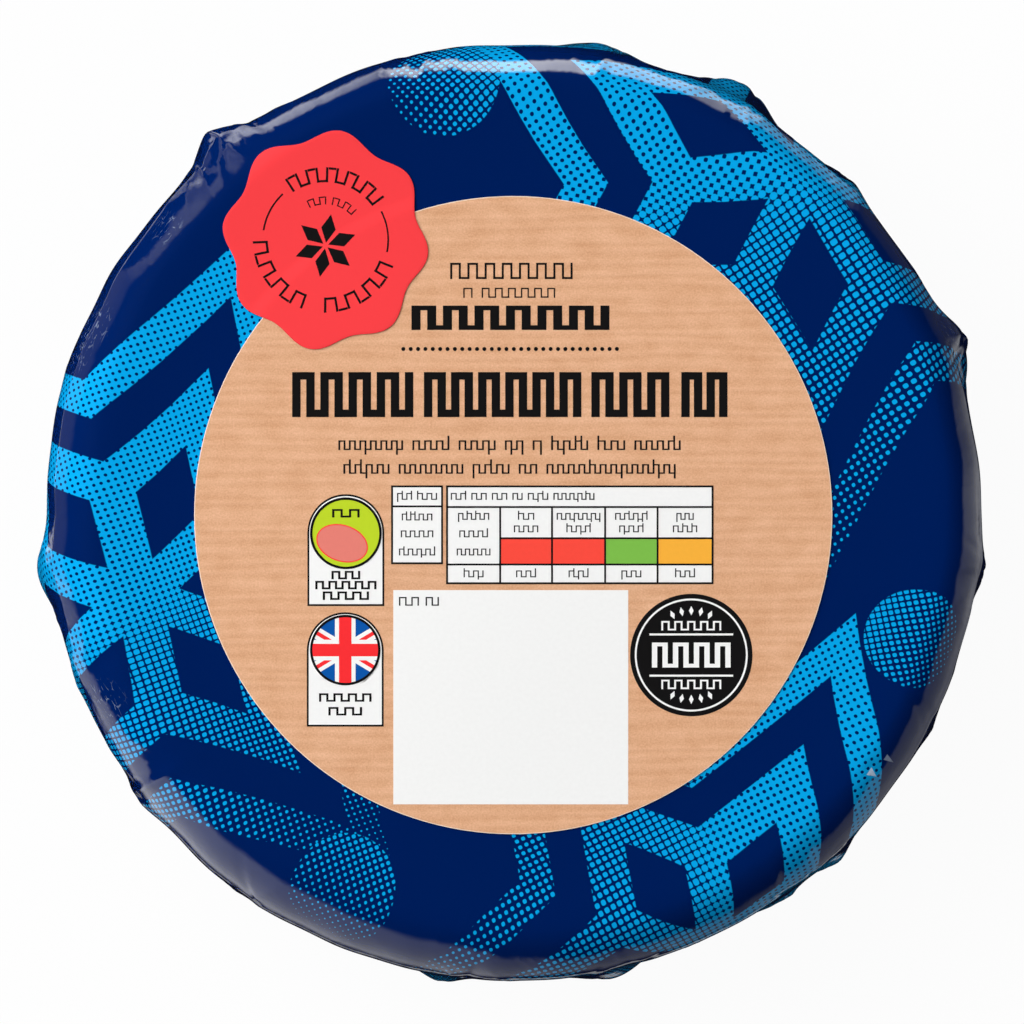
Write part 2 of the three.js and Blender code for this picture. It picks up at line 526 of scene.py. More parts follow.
def settleFilm(points):
    # the even lathe form takes the wide and narrow bends and the waves of the real one
    radius, degrees = polarOf(points)
    height = points[:, 2]
    rim = form["rimRadius"]
    flat = rim - form["bendWidth"]
    edge = form["height"] - form["crown"]
    belly = form["bellyHeight"]
    rimHeight = edge - form["bendWidth"] * form["bendSteepness"]
    swing = bendAt(degrees) / form["bendWidth"]
    trueEdge = edgeHeight(degrees)
    trueRim = trueEdge - bendAt(degrees) * form["bendSteepness"]
    onTop = (radius <= flat) & (height > belly)
    onBend = ~onTop & (height > rimHeight)
    onUpright = ~onTop & ~onBend & (height > belly)
    topRadius = radius * (rim - bendAt(degrees)) / flat
    newRadius = np.select(
        (onTop, onBend), (topRadius, rim - (rim - radius) * swing), radius)
    upright = belly + (height - belly) * (trueRim - belly) / (rimHeight - belly)
    newHeight = np.select(
        (onTop, onBend, onUpright),
        (tautHeight(topRadius, degrees), trueEdge - (edge - height) * swing, upright), height)
    return newRadius, degrees, newHeight


def sway(degrees, waves):
    return sum(height * wave(count * degrees + start) for height, count, start in waves)


def turnBetween(first, second):
    return (second - first + 180) % 360 - 180


def ridge(degrees, at, spread, peak):
    return np.exp(-(np.abs(turnBetween(at, degrees)) / spread) ** peak)


def earReach(degrees, height):
    total = np.zeros_like(degrees)
    for at, reach, spread, level, span, lean, peak in ears:
        crest = at + lean * (height - level)
        hollow = folds["earHollow"] * ridge(
            degrees, crest, spread * folds["hollowSpread"], folds["hollowPeak"])
        out = ridge(degrees, crest, spread, peak) - hollow
        tall = np.exp(-((height - level) / span) ** 2)
        total += reach * out * tall / (1 - folds["earHollow"])
    return total


def bigPleatReach(degrees, height):
    stray = folds["bigPleatStray"] * wave(form["topWaves"] * degrees + folds["bigPleatStart"])
    crest = np.abs(np.sin(np.radians(degrees * folds["bigPleats"] / 2) + stray))
    return folds["bigPleatDepth"] * (crest - 0.5) * np.clip(
        1 - height / form["bellyHeight"], 0, 1)


def finePleatReach(degrees, height, draw):
    total = np.zeros_like(degrees)
    for _ in range(finePleats["count"]):
        at = draw.uniform(0, 360)
        depth = finePleats["depth"] * draw.uniform(*finePleats["share"])
        spread = draw.uniform(*finePleats["spread"])
        begin = draw.uniform(*finePleats["from"])
        lean = draw.uniform(*finePleats["lean"])
        crest = at + lean * (begin - height)
        total += depth * ridge(degrees, crest, spread, finePleats["peak"]) * softStep(
            begin - height, 0, draw.uniform(*finePleats["fade"]))
    return total


def tuckReach(degrees, height, draw):
    # narrow creases that run down the side from each ear
    total = np.zeros_like(degrees)
    for at, reach, spread, level, span, *_ in ears:
        size = min(reach, tucks["widestReach"]) / 2
        for _ in range(tucks["perEar"]):
            foot = at + spread * draw.uniform(*tucks["stray"])
            lean = draw.uniform(*tucks["lean"])
            centre = level + draw.uniform(*tucks["rise"]) * span
            tall = draw.uniform(*tucks["tallness"]) * span
            crest = foot + lean * (height - level)
            total += -size * tucks["depth"] * draw.uniform(*tucks["share"]) * ridge(
                degrees, crest, draw.uniform(*tucks["spread"]), tucks["peak"]) * np.exp(
                -((height - centre) / tall) ** 2)
    return total


def baseGathers(radius, degrees, draw):
    # underneath, the gathered film runs in to a flat round patch where it was sealed
    lift = np.zeros_like(degrees)
    patch = gathers["patchRadius"]
    inside = softStep(radius, patch, patch + gathers["patchEdge"]) * softStep(
        -radius, -form["baseRadius"], -form["baseRadius"] + gathers["rimEdge"])
    for _ in range(gathers["count"]):
        at = draw.uniform(0, 360)
        lean = draw.uniform(*gathers["lean"])
        crest = at + lean * (radius - patch)
        lift += gathers["depth"] * draw.uniform(*gathers["share"]) * ridge(
            degrees, crest, draw.uniform(*gathers["spread"]), gathers["peak"])
    return np.minimum(lift, gathers["deepest"]) * inside


def foldFilm(film):
    draw = random.Random(folds["seed"])
    points = readPoints(film)
    radius, degrees, height = settleFilm(points)
    begin, full = (form["rimRadius"] - inset for inset in folds["sideInset"])
    onSide = softStep(radius, begin, full)
    aboveFloor = softStep(height, 0, folds["floorFade"])
    reach = earReach(degrees, height) + bigPleatReach(degrees, height)
    fine = finePleatReach(degrees, height, draw) * aboveFloor + tuckReach(degrees, height, draw)
    underneath = (height < hair) & (radius < form["baseRadius"] + folds["baseMargin"])
    lift = np.where(underneath, baseGathers(radius, degrees, draw), 0)
    radius = radius + (reach + fine) * onSide
    writePoints(film, np.stack(
        (radius * wave(degrees), radius * wave(degrees - 90), height + lift), axis=1))


def oneTuck(along, degrees, at, start, fan, length, width, depth):
    # a fold with one steep and one gentle side, dying out over its length towards the top
    aside = form["rimRadius"] * np.radians(turnBetween(at, degrees))
    up = start - along
    turn = math.radians(fan)
    run = up * math.cos(turn) + aside * math.sin(turn)
    across = aside * math.cos(turn) - up * math.sin(turn)
    wide = width * np.where(across > 0, creases["gentleSide"], creases["steepSide"])
    body = np.exp(-(np.abs(across) / wide) ** creases["foldPeak"])
    return depth * body * softStep(run, *creases["foldStart"]) * np.exp(
        -(np.maximum(run, 0) / length) ** creases["foldEnd"])


def crumple(along, degrees, at, centre, size, depth, facet, draw):
    # small flat facets between sharp creases in a few directions
    aside = form["rimRadius"] * np.radians(turnBetween(at, degrees))
    down = along - centre
    window = np.exp(-((aside ** 2 + down ** 2) / size ** 2) ** facets["edge"])
    total = np.zeros_like(along)
    for _ in range(facets["directions"]):
        turn = draw.uniform(0, math.pi)
        run = aside * math.cos(turn) + down * math.sin(turn)
        run /= facet * draw.uniform(*facets["sizes"])
        total += np.abs((run + draw.uniform(0, 2)) % 2 - 1) - 0.5
    return depth * total * window


def creaseFilm(film, along, degrees):
    draw = random.Random(creases["seed"])
    lift = np.zeros_like(along)
    for _ in range(creases["waves"]):
        waves = draw.randint(*creases["wavesRound"])
        phase = draw.uniform(0, 360)
        lean = draw.uniform(*creases["waveLean"])
        lift += creases["waveDepth"] * wave(waves * degrees + phase + lean * along)
    lift *= softStep(along, *creases["waveFrom"]) * (1 - softStep(along, *creases["waveTo"]))
    widen, deepen = creases["firstFan"]
    for at, reach, spread, *_ in ears:
        for index in range(creases["fewestFans"] + round(creases["fansPerReach"] * reach)):
            first = index == 0
            depth = draw.uniform(*creases["fanDepth"])
            if draw.random() >= creases["raisedShare"]:
                depth = -depth
            lift += oneTuck(
                along, degrees, at + spread * draw.uniform(*creases["fanStray"]),
                draw.uniform(*creases["fanFrom"]),
                creases["fanHalfAngle"] * draw.uniform(-1, 1),
                draw.uniform(*creases["fanLength"]),
                draw.uniform(*creases["fanWidth"]) * (widen if first else 1),
                depth * (min(reach, creases["deepestReach"]) * deepen if first
                         else creases["otherFans"]))
    for _ in range(creases["strays"]):
        lift += oneTuck(
            along, degrees, draw.uniform(0, 360),
            *(draw.uniform(*creases[what]) for what in (
                "strayFrom", "strayTurn", "strayLength", "strayWidth", "strayDepth")))
    for place in crumples:
        lift += crumple(along, degrees, *place, draw)
    for pleat in pleats:
        lift += oneTuck(along, degrees, *pleat)
    high = ridge(
        degrees, creases["highLineAt"], creases["highLineSpread"], creases["highLinePeak"])
    line = creases["rimLineAt"] - creases["highLineRise"] * high + sway(
        degrees, creases["rimLineSway"]) * (1 - creases["highLineCalm"] * high)
    shown = np.maximum(high, softStep(
        sway(degrees, creases["rimLineShown"]), *creases["rimLineFade"]))
    lift += creases["rimLineDepth"] * shown * np.exp(
        -(np.abs(along - line) / creases["rimLineWidth"]) ** creases["rimLinePeak"])
    normals = readPoints(film, "normal")
    writePoints(film, readPoints(film) + normals * lift[:, None])


# The film's print: halftone stars of nested diamonds, and halftone spots.

filmPrint = {
    "navy": (0, 29, 89),
    "blue": (5, 164, 231),
    "edge": 7.0,  # sharpness of the print's edges
    "dotEdge": 1.1,  # and of the dots, as a share of it for a dot pitch of 1 mm
    # the dots: how round and how square they are and how far their sides reach, how hollow the
    # gaps and how round the holes that are left, the tones between which they join, and their
    # size and growth
    "round": 0.25,
    "square": 0.26,
    "squareReach": 0.8,
    "gap": 0.05,
    "hole": 0.175,
    "joining": (0.58, 0.78),
    "size": 0.275,
    "growth": 0.88,
    "roughness": 0.05,
    # over the bend and the side the film is faintly rumpled, on top it is taut
    "rumple": {"scale": 0.16, "detail": 3.0, "sharpness": 0.55, "from": 66.0, "to": 76.0,
               "relief": (0.4, 0.0002)},
    # each star: its middle, the side of a diamond, its turn, the width of its bands, and for
    # some how far out a loose outer band runs and its width; then dot pitch, dot grid's turn,
    # the tone in the middle, its change with each millimetre and the way it grows
    "stars": (
        {"x": -62, "y": -14, "side": 19, "turn": 12, "band": 6.6, "gap": 12.2, "outer": 5.6,
         "pitch": 1.05, "grid": 20, "tone": 0.69, "fade": 0.0110, "way": 126},
        {"x": 46, "y": 53, "side": 20, "turn": 32, "band": 7.0, "gap": 12.6, "outer": 6.0,
         "pitch": 1.25, "grid": 33, "tone": 0.67, "fade": 0.0090, "way": 98},
        {"x": 34, "y": -73, "side": 18, "turn": 10, "band": 6.6, "gap": 12.0, "outer": 5.4,
         "pitch": 1.15, "grid": 28, "tone": 0.64, "fade": 0.0110, "way": 10},
        {"x": -74, "y": 93, "side": 19, "turn": 38, "band": 6.8,
         "pitch": 1.1, "grid": 36, "tone": 0.66, "fade": 0.0060, "way": 128},
        {"x": 122, "y": 6, "side": 19, "turn": 5, "band": 6.8,
         "pitch": 1.1, "grid": 15, "tone": 0.62, "fade": 0.0060, "way": 5},
        {"x": -38, "y": -114, "side": 19, "turn": 45, "band": 6.8,
         "pitch": 1.1, "grid": 24, "tone": 0.62, "fade": 0.0060, "way": 255},
    ),
    # painted highlights: fine pale lines that stand in for the glints of crinkled film; middle of
    # each patch and its radius, the size of the lines' cells, how much longer they are along the
    # rim, the width of a line as a share, and their strength
    "paintedCrinkleGlints": ((-69, 31, 5.0), (-72, 26, 4.0), (-56, 46, 3.5), (74, 28, 5.0), (-67, -31, 4.5)),
    "glintCellSize": 1.0,
    "glintLength": 3.0,
    "glintLineWidth": 0.05,
    "glintStrength": 0.3,
    "glintGaps": 0.9,  # how fine the gaps in the painted glint lines are, and where they begin and end
    "glintBroken": (0.45, 0.6),
    "glintColour": (200, 218, 240),
    # painted glints: small pale triangles that point to the rim and stand in for highlights on
    # tiny creases; angle, start along the film, length, width and strength
    "paintedGlints": ((-36, 70.2, 1.8, 1.5, 0.9), (-33.3, 71.2, 2.2, 1.1, 0.4)),
    # round spots: middle, radius, and the dots as above
    "spots": (
        {"x": -11, "y": 69, "radius": 9.0,
         "pitch": 1.1, "grid": 40, "tone": 0.38, "fade": 0.030, "way": 30},
        {"x": 64, "y": -20, "radius": 7.8,
         "pitch": 0.95, "grid": 12, "tone": 0.34, "fade": 0.035, "way": 150},
        {"x": -28, "y": -62, "radius": 8.5,
         "pitch": 1.0, "grid": 20, "tone": 0.20, "fade": 0.025, "way": 60},
    ),
}


def halftone(x, y, figure):
    # dots on a square grid: round, then squares with thin lines between them, then joined
    # with round holes left
    grid, way = math.radians(figure["grid"]), math.radians(figure["way"])
    turns, fade = fullTurn / figure["pitch"], figure["fade"]
    right, up = math.cos(grid) * turns, math.sin(grid) * turns
    across = (x * right + y * up).maths("COSINE")
    down = (y * right - x * up).maths("COSINE")
    tone = x * (math.cos(way) * fade) + y * (math.sin(way) * fade) + figure["tone"]
    bare = (1 - tone).maths("MAXIMUM", 0.0)
    joined = tone.within(*filmPrint["joining"])
    squares = tone * (1 - joined) * filmPrint["square"] * (
        filmPrint["squareReach"] - (across - down).maths("ABSOLUTE"))
    holes = across * down * (filmPrint["gap"] - joined * filmPrint["hole"])
    dot = (squares + holes + (across + down) * filmPrint["round"] + filmPrint["size"]
           - bare * bare * filmPrint["growth"])
    return (dot * (filmPrint["edge"] * figure["pitch"] * filmPrint["dotEdge"]) + 0.5).clamp()


def star(x, y, figure):
    # one twelfth of the figure, folded round its middle: the half of a diamond whose outer
    # sides are one band and whose inner sides another, with a loose band beyond
    half = math.pi / 6
    turn = math.radians(figure["turn"])
    radius = (x * x + y * y).maths("SQRT")
    sector = (y.maths("ARCTAN2", x) - turn).maths("PINGPONG", half)
    along = radius * sector.maths("COSINE")
    across = radius * sector.maths("SINE")
    tip = 2 * figure["side"] * math.cos(half)
    outside = (along - tip) * math.sin(half) + across * math.cos(half)
    inside = (across * math.cos(half) - along * math.sin(half)).maths("ABSOLUTE")
    width = figure["band"] / 2
    covered = (width - outside.maths("ABSOLUTE")).maths(
        "MAXIMUM", (width - inside).maths("MINIMUM", width - outside))
    if "outer" in figure:
        loose = figure["outer"] / 2 - (outside - figure["gap"]).maths("ABSOLUTE")
        covered = covered.maths("MAXIMUM", loose)
    return (covered * filmPrint["edge"] + 0.5).clamp()


def spot(x, y, figure):
    radius = (x * x + y * y).maths("SQRT")
    return ((figure["radius"] - radius) * filmPrint["edge"] + 0.5).clamp()


# a small pale triangle painted on the film as a glint
def paintedGlint(along, roundRim, at, start, length, width, strength):
    aside = (roundRim - math.radians(at) * form["rimRadius"]).maths("ABSOLUTE")
    up = along - start
    inside = ((length - up) * (width / 2 / length) - aside).maths("MINIMUM", up)
    return (inside * filmPrint["edge"] + 0.5).clamp() * strength


# painted highlights: pale crinkle lines in a few patches and small pale triangles, mixed into the
# print as glints
def paintedCrinkleGlints(x, y):
    size = filmPrint["glintCellSize"]
    along = (x * x + y * y).maths("SQRT")
    roundRim = y.maths("ARCTAN2", x) * form["rimRadius"]
    place = x.node("ShaderNodeCombineXYZ", None, {
        0: along / size, 1: roundRim / (size * filmPrint["glintLength"])})
    cells = place.node("ShaderNodeTexVoronoi", {"feature": "DISTANCE_TO_EDGE"}, {
        "Vector": place, "Scale": 1.0})
    near = None
    for middleX, middleY, radius in filmPrint["paintedCrinkleGlints"]:
        awayX, awayY = x - middleX, y - middleY
        patch = (awayX * awayX + awayY * awayY).within(radius ** 2, 0)
        near = patch if near is None else near + patch
    gaps = filmPrint["glintGaps"]
    broken = x.noise(x * gaps, y * gaps, 2.0, 2.0).within(*filmPrint["glintBroken"])
    line = cells.within(filmPrint["glintLineWidth"], 0)
    pale = line * near * broken * filmPrint["glintStrength"]
    for mark in filmPrint["paintedGlints"]:
        pale = pale + paintedGlint(along, roundRim, *mark)
    return pale.clamp()


def filmMaterial(longest):
    navy = paint(*filmPrint["navy"])
    material, wire, shader = newMaterial("glossy_printed_film", navy, filmPrint["roughness"])
    sheet = wire.node("ShaderNodeUVMap", {"uv_map": "filmSheet"})
    u, v, _ = sheet.parts()
    x = (u - 0.5) * (2 * longest)
    y = (v - 0.5) * (2 * longest)
    printed = None
    for shape, figures in ((star, filmPrint["stars"]), (spot, filmPrint["spots"])):
        for figure in figures:
            localX = x - figure["x"]
            localY = y - figure["y"]
            covered = shape(localX, localY, figure)
            dots = halftone(localX, localY, figure)
            printed = covered * dots if printed is None else (
                printed + covered * (dots - printed))
    colour = printed.blend(navy, paint(*filmPrint["blue"]))
    # the painted glints are mixed into the film's colour
    plug(paintedCrinkleGlints(x, y).blend(colour, paint(*filmPrint["glintColour"])), shader, "Base Color")
    rumple = filmPrint["rumple"]
    place = (value * rumple["scale"] for value in objectPlace(wire))
    swell = wire.noise(*place, rumple["detail"], rumple["sharpness"])
    sharp = 1 - (swell * 2 - 1).maths("ABSOLUTE")
    loose = (x * x + y * y).maths("SQRT").within(rumple["from"], rumple["to"])
    addRelief(shader, sharp * loose, *rumple["relief"])
    return material


def closeEnd(film, atTop):
    # the open ring in the middle of the top or the base is drawn in to a point
    middle = form["height"] / 2
    bpy.ops.object.mode_set(mode="EDIT")
    bpy.ops.mesh.select_mode(type="VERT")
    bpy.ops.mesh.select_all(action="DESELECT")
    bpy.ops.object.mode_set(mode="OBJECT")
    points = readPoints(film)
    radius, _ = polarOf(points)
    side = points[:, 2] > middle if atTop else points[:, 2] < middle
    innermost = side & (radius < radius[side].min() + hair)
    film.data.vertices.foreach_set("select", innermost)
    bpy.ops.object.mode_set(mode="EDIT")
    bpy.ops.mesh.select_mode(type="EDGE")
    bpy.ops.mesh.extrude_edges_move()
    bpy.ops.mesh.merge(type="CENTER")
    bpy.ops.object.mode_set(mode="OBJECT")


def addFilm():
    stations = filmStations()
    film = addRings("printed_film", stations, filmShape["spokes"], closed=False)
    applyModifier(film, "SUBSURF", levels=2, render_levels=2)
    closeEnd(film, True)
    closeEnd(film, False)
    bpy.ops.object.mode_set(mode="EDIT")
    bpy.ops.mesh.select_all(action="SELECT")
    bpy.ops.mesh.normals_make_consistent(inside=False)
    bpy.ops.object.mode_set(mode="OBJECT")
    lengthAt, longest = lengthAlongFilm(stations)
    points = readPoints(film)
    radius, degrees = polarOf(points)
    along = lengthAt(radius, points[:, 2])
    mapFilm(film, along, degrees, longest)
    foldFilm(film)
    creaseFilm(film, along, degrees)
    finishPiece(film, filmMaterial(longest), filmShape["smoothAngle"])
    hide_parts("wrapped_pie")
    print("film:", len(film.data.polygons), "faces")


# The paper label and the seal.

paper = {
    "labelGap": 0.04,  # between the film and the label
    "labelThickness": 0.22,
    "labelSpokes": 160,
    "labelRings": 17,
    "cutEdge": 0.13,  # how far the pale cut edge shows on top
    "sealGap": 0.02,
    "sealThickness": 0.2,
    "sealRadius": 16.2,
    "sealStretch": 0.58,  # the seal is longer by this much each way along one line
    "sealStretchAt": 94.0,
    "sealSpokes": 192,
    "sealRings": 30,
    "sealLobes": 8,
    "sealLobeDepth": 0.86,
    "sealFirstLobeAt": 82.0,
    "sealLapFrom": 0.2,  # the seal comes down to the film over this way past the label
    "sealLapTo": 2.6,
    "edgeSoftness": 0.05,
    "edgeAngle": 60,
    "smoothAngle": 40,
    "kraft": (235, 185, 149),
    "kraftDark": (209, 155, 115),
    "kraftEdge": (244, 224, 207),
    "ribPitch": 1.83,
    "ribWaver": 11,
    # what makes the paper uneven: how fine it is along and across the ribs, the slice of the
    # noise that it takes, its detail and its roughness
    "drift": (0.03, 0.26, 3.0, 1.0, 0.5),
    "strength": (0.1, 0.4, 8.0, 2.0, 0.5),
    "fibre": (0.8, 2.0, 0.0, 4.0, 0.6),
    "fleck": (3.4, 3.6, 5.0, 1.0, 0.6),
    "cloud": (0.22, 0.3, 13.0, 1.0, 0.5),
    "mottle": (1.6, 1.6, 0.0, 4.0, 0.5),
    # how much each darkens the paper
    "ribShade": 0.24,
    "fibreShade": 0.55,
    "fleckShade": 1.3,
    "cloudShade": 0.8,
    "paleness": 0.8,
    # how far the fibres stand up and the ribs lie down, and the strength and depth in metres
    # of the relief on kraft paper and on plain paper and ink
    "fibreRise": 0.5,
    "ribFall": 0.4,
    "kraftRelief": (0.3, 0.0001),
    "plainRelief": (0.15, 0.00008),
    # roughness, and how much of the shine is left
    "kraftFinish": (0.9, 0.15),
    "plainShine": 0.12,
    "edgeRoughness": 0.9,
    "redRoughness": 0.7,
    "redMottle": 0.012,
    "redEdgeRoughness": 0.8,
    "red": (249, 62, 67),
    # the seal's cut edge is darker than the red, a painted shadow line round the seal
    "redEdgePaintedShade": (150, 24, 38),
}


def layOnFilm(points):
    return topOfFilm(points) + paper["labelGap"]


def layOnLabel(points):
    return layOnFilm(points) + paper["labelThickness"]


def laySeal(points):
    past = np.hypot(points[:, 0] - labelOffset["x"],
                    points[:, 1] - labelOffset["y"]) - labelRadius
    raised = 1 - softStep(past, paper["sealLapFrom"], paper["sealLapTo"])
    step = paper["labelThickness"] + paper["sealGap"]
    return layOnFilm(points) + step * raised


def layOnSeal(points):
    return laySeal(points) + paper["sealThickness"]


def layDown(piece, surface):
    points = readPoints(piece)
    points[:, 2] += surface(points)
    writePoints(piece, points)


def movePiece(piece, x, y):
    writePoints(piece, readPoints(piece) + np.array((x, y, 0)))


def addPaperSheet(name, radii, spokes, thickness, materials):
    sheet = addRings(name, [(radius, 0) for radius in radii], spokes)
    for material in materials:
        sheet.data.materials.append(material)
    if radii[-1] - radii[-2] < 2 * paper["cutEdge"]:
        middle = (radii[-1] + radii[-2]) / 2
        for face in sheet.data.polygons:
            face.material_index = int(face.center.xy.length > middle - paper["cutEdge"] / 4)
    applyModifier(sheet, "SOLIDIFY", thickness=thickness, offset=1, material_offset_rim=1)
    applyModifier(sheet, "BEVEL", width=paper["edgeSoftness"], segments=2,
                  limit_method="ANGLE", angle_limit=math.radians(paper["edgeAngle"]))
    return sheet


def unevenness(x, y, what):
    along, across, *settings = paper[what]
    return x.noise(x * along, y * across, *settings)


def kraftMaterial():
    # wavering ribs across the paper, fibres along them and fine flecks all over
    kraft = paint(*paper["kraft"])
    material, wire, shader = newMaterial("kraft_paper", kraft, *paper["kraftFinish"])
    x, y, _ = objectPlace(wire)
    drift, strength, fibre, fleck, cloud = (
        unevenness(x, y, what) for what in ("drift", "strength", "fibre", "fleck", "cloud"))
    rib = (y * (fullTurn / paper["ribPitch"]) + drift * paper["ribWaver"]).maths("SINE")
    shade = (rib * strength * paper["ribShade"] + fibre * paper["fibreShade"]
             + fleck * paper["fleckShade"] + cloud * paper["cloudShade"]
             - paper["paleness"]).clamp()
    plug(shade.blend(kraft, paint(*paper["kraftDark"])), shader, "Base Color")
    relief = fibre * paper["fibreRise"] - rib * paper["ribFall"]
    addRelief(shader, relief, *paper["kraftRelief"])
    return material


def plainMaterial(name, colour, roughness, mottle=0.03):
    # flat ink or board with a slight unevenness
    base = paint(*colour)
    material, wire, shader = newMaterial(name, base, roughness, paper["plainShine"])
    x, y, _ = objectPlace(wire)
    cloud = unevenness(x, y, "mottle")
    darker = tuple(value * (1 - 2 * mottle) for value in base[:3]) + (1,)
    plug(cloud.blend(base, darker), shader, "Base Color")
    addRelief(shader, cloud, *paper["plainRelief"])
    return material


def evenRings(radius, count):
    return [radius * (step + 1) / count for step in range(count)]


def addLabel():
    edge = plainMaterial("kraft_cut_edge", paper["kraftEdge"], paper["edgeRoughness"])
    radii = evenRings(labelRadius - paper["cutEdge"], paper["labelRings"]) + [labelRadius]
    label = addPaperSheet("kraft_label", radii, paper["labelSpokes"], paper["labelThickness"],
                          (kraftMaterial(), edge))
    movePiece(label, labelOffset["x"], labelOffset["y"])
    layDown(label, layOnFilm)
    finishPiece(label, None, paper["smoothAngle"])
    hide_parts("round_label")
    print("label:", len(label.data.polygons), "faces")


def addSeal():
    # the seal's real cut edge takes a dark red that paints a thin shadow line round the seal
    edge = plainMaterial("seal_edge_painted_shade", paper["redEdgePaintedShade"], paper["redEdgeRoughness"])
    red = plainMaterial("red_seal_paper", paper["red"], paper["redRoughness"],
                        paper["redMottle"])
    size = paper["sealRadius"]
    seal = addPaperSheet("scalloped_seal", evenRings(size, paper["sealRings"]),
                         paper["sealSpokes"], paper["sealThickness"], (red, edge))
    points = readPoints(seal)
    radius, degrees = polarOf(points)
    lobe = paper["sealLobeDepth"] * wave(paper["sealLobes"] * (degrees - paper["sealFirstLobeAt"]))
    lobe += paper["sealStretch"] * wave(2 * (degrees - paper["sealStretchAt"]))
    grow = 1 + lobe / size * np.minimum(radius / size, 1) ** 2
    points[:, :2] *= grow[:, None]
    writePoints(seal, points)
    movePiece(seal, sealOffset.x, sealOffset.y)
    layDown(seal, laySeal)
    finishPiece(seal, None, paper["smoothAngle"])
    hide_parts("seal_sticker")
    print("seal:", len(seal.data.polygons), "faces")


# Print on the paper, as thin flat plates of ink that follow it.

ink = {
    "depth": 0.02,
    "layer": 0.012,  # each layer of ink stands this far over the one below
    "lift": 0.0012,  # and plates of one layer stand this far apart, over so many steps
    "liftSteps": 8,
    "line": 0.3,
    "ringLine": 1.3,  # how many times thicker a ring's line is than a straight one
    "ringSides": (96, 4),  # round the ring and round its line
    "discSides": 64,
    "wideDiscSides": 96,
    "dotSides": 12,
    "longerStrokes": 0.28,  # the share of strokes that rise or drop past the rest
    "risesAndDrops": (1, 1, -1),  # two rise for each one that drops
    "joint": 0.9,  # a joining stroke is shorter than a step by this share of an upright
    "cuts": {"label": 4, "seal": 0.5},  # distance between the cuts that let the ink bend
    "roughness": 0.8,
    "drawnRadius": 51.1,  # of the label that the places below are measured on
    "black": (20, 19, 20),
    "white": (246, 246, 245),
    "red": (253, 76, 62),
    "crimson": (250, 46, 51),
    "green": (126, 190, 75),
    "amber": (251, 179, 60),
    "lime": (190, 215, 40),
    "pink": (231, 128, 116),
    "blue": (0, 84, 168),
    "seed": 5,
}


def addBlock(place, width, height, turn):
    bpy.ops.mesh.primitive_cube_add(
        size=1, location=place, rotation=(0, 0, math.radians(turn)),
        scale=(width, height, ink["depth"]))


def addDisc(place, width, height, turn, sides):
    bpy.ops.mesh.primitive_cylinder_add(
        vertices=sides, radius=0.5, depth=ink["depth"], location=place,
        rotation=(0, 0, math.radians(turn)), scale=(width, height, 1))


def addRing(place, radius, width):
    major, minor = ink["ringSides"]
    bpy.ops.mesh.primitive_torus_add(
        location=place, major_segments=major, minor_segments=minor, major_radius=radius,
        minor_radius=width / 2)
    bpy.ops.transform.resize(value=(1, 1, ink["depth"] / width), center_override=place)


def straight(left, y):  # a line of print that runs to the right
    def place(along, up):
        return left + along, y + up, 0
    return place


def around(radius, turn):  # a place at a distance and a turn from the middle of the print
    angle = math.radians(turn)
    return radius * math.cos(angle), radius * math.sin(angle)


def overArc(radius, start):  # a line of print that runs clockwise over an arc
    def place(along, up):
        turn = start - math.degrees(along / radius)
        return (*around(radius + up, turn), turn - 90)
    return place


def underArc(radius, start):  # and one that runs the other way under an arc
    def place(along, up):
        turn = start + math.degrees(along / radius)
        return (*around(radius - up, turn), turn + 90)
    return place


def boxOf(panel):  # the middle, width and height of a panel
    left, right, top, bottom = (panel[side] for side in ("left", "right", "top", "bottom"))
    return (left + right) / 2, (top + bottom) / 2, right - left, top - bottom


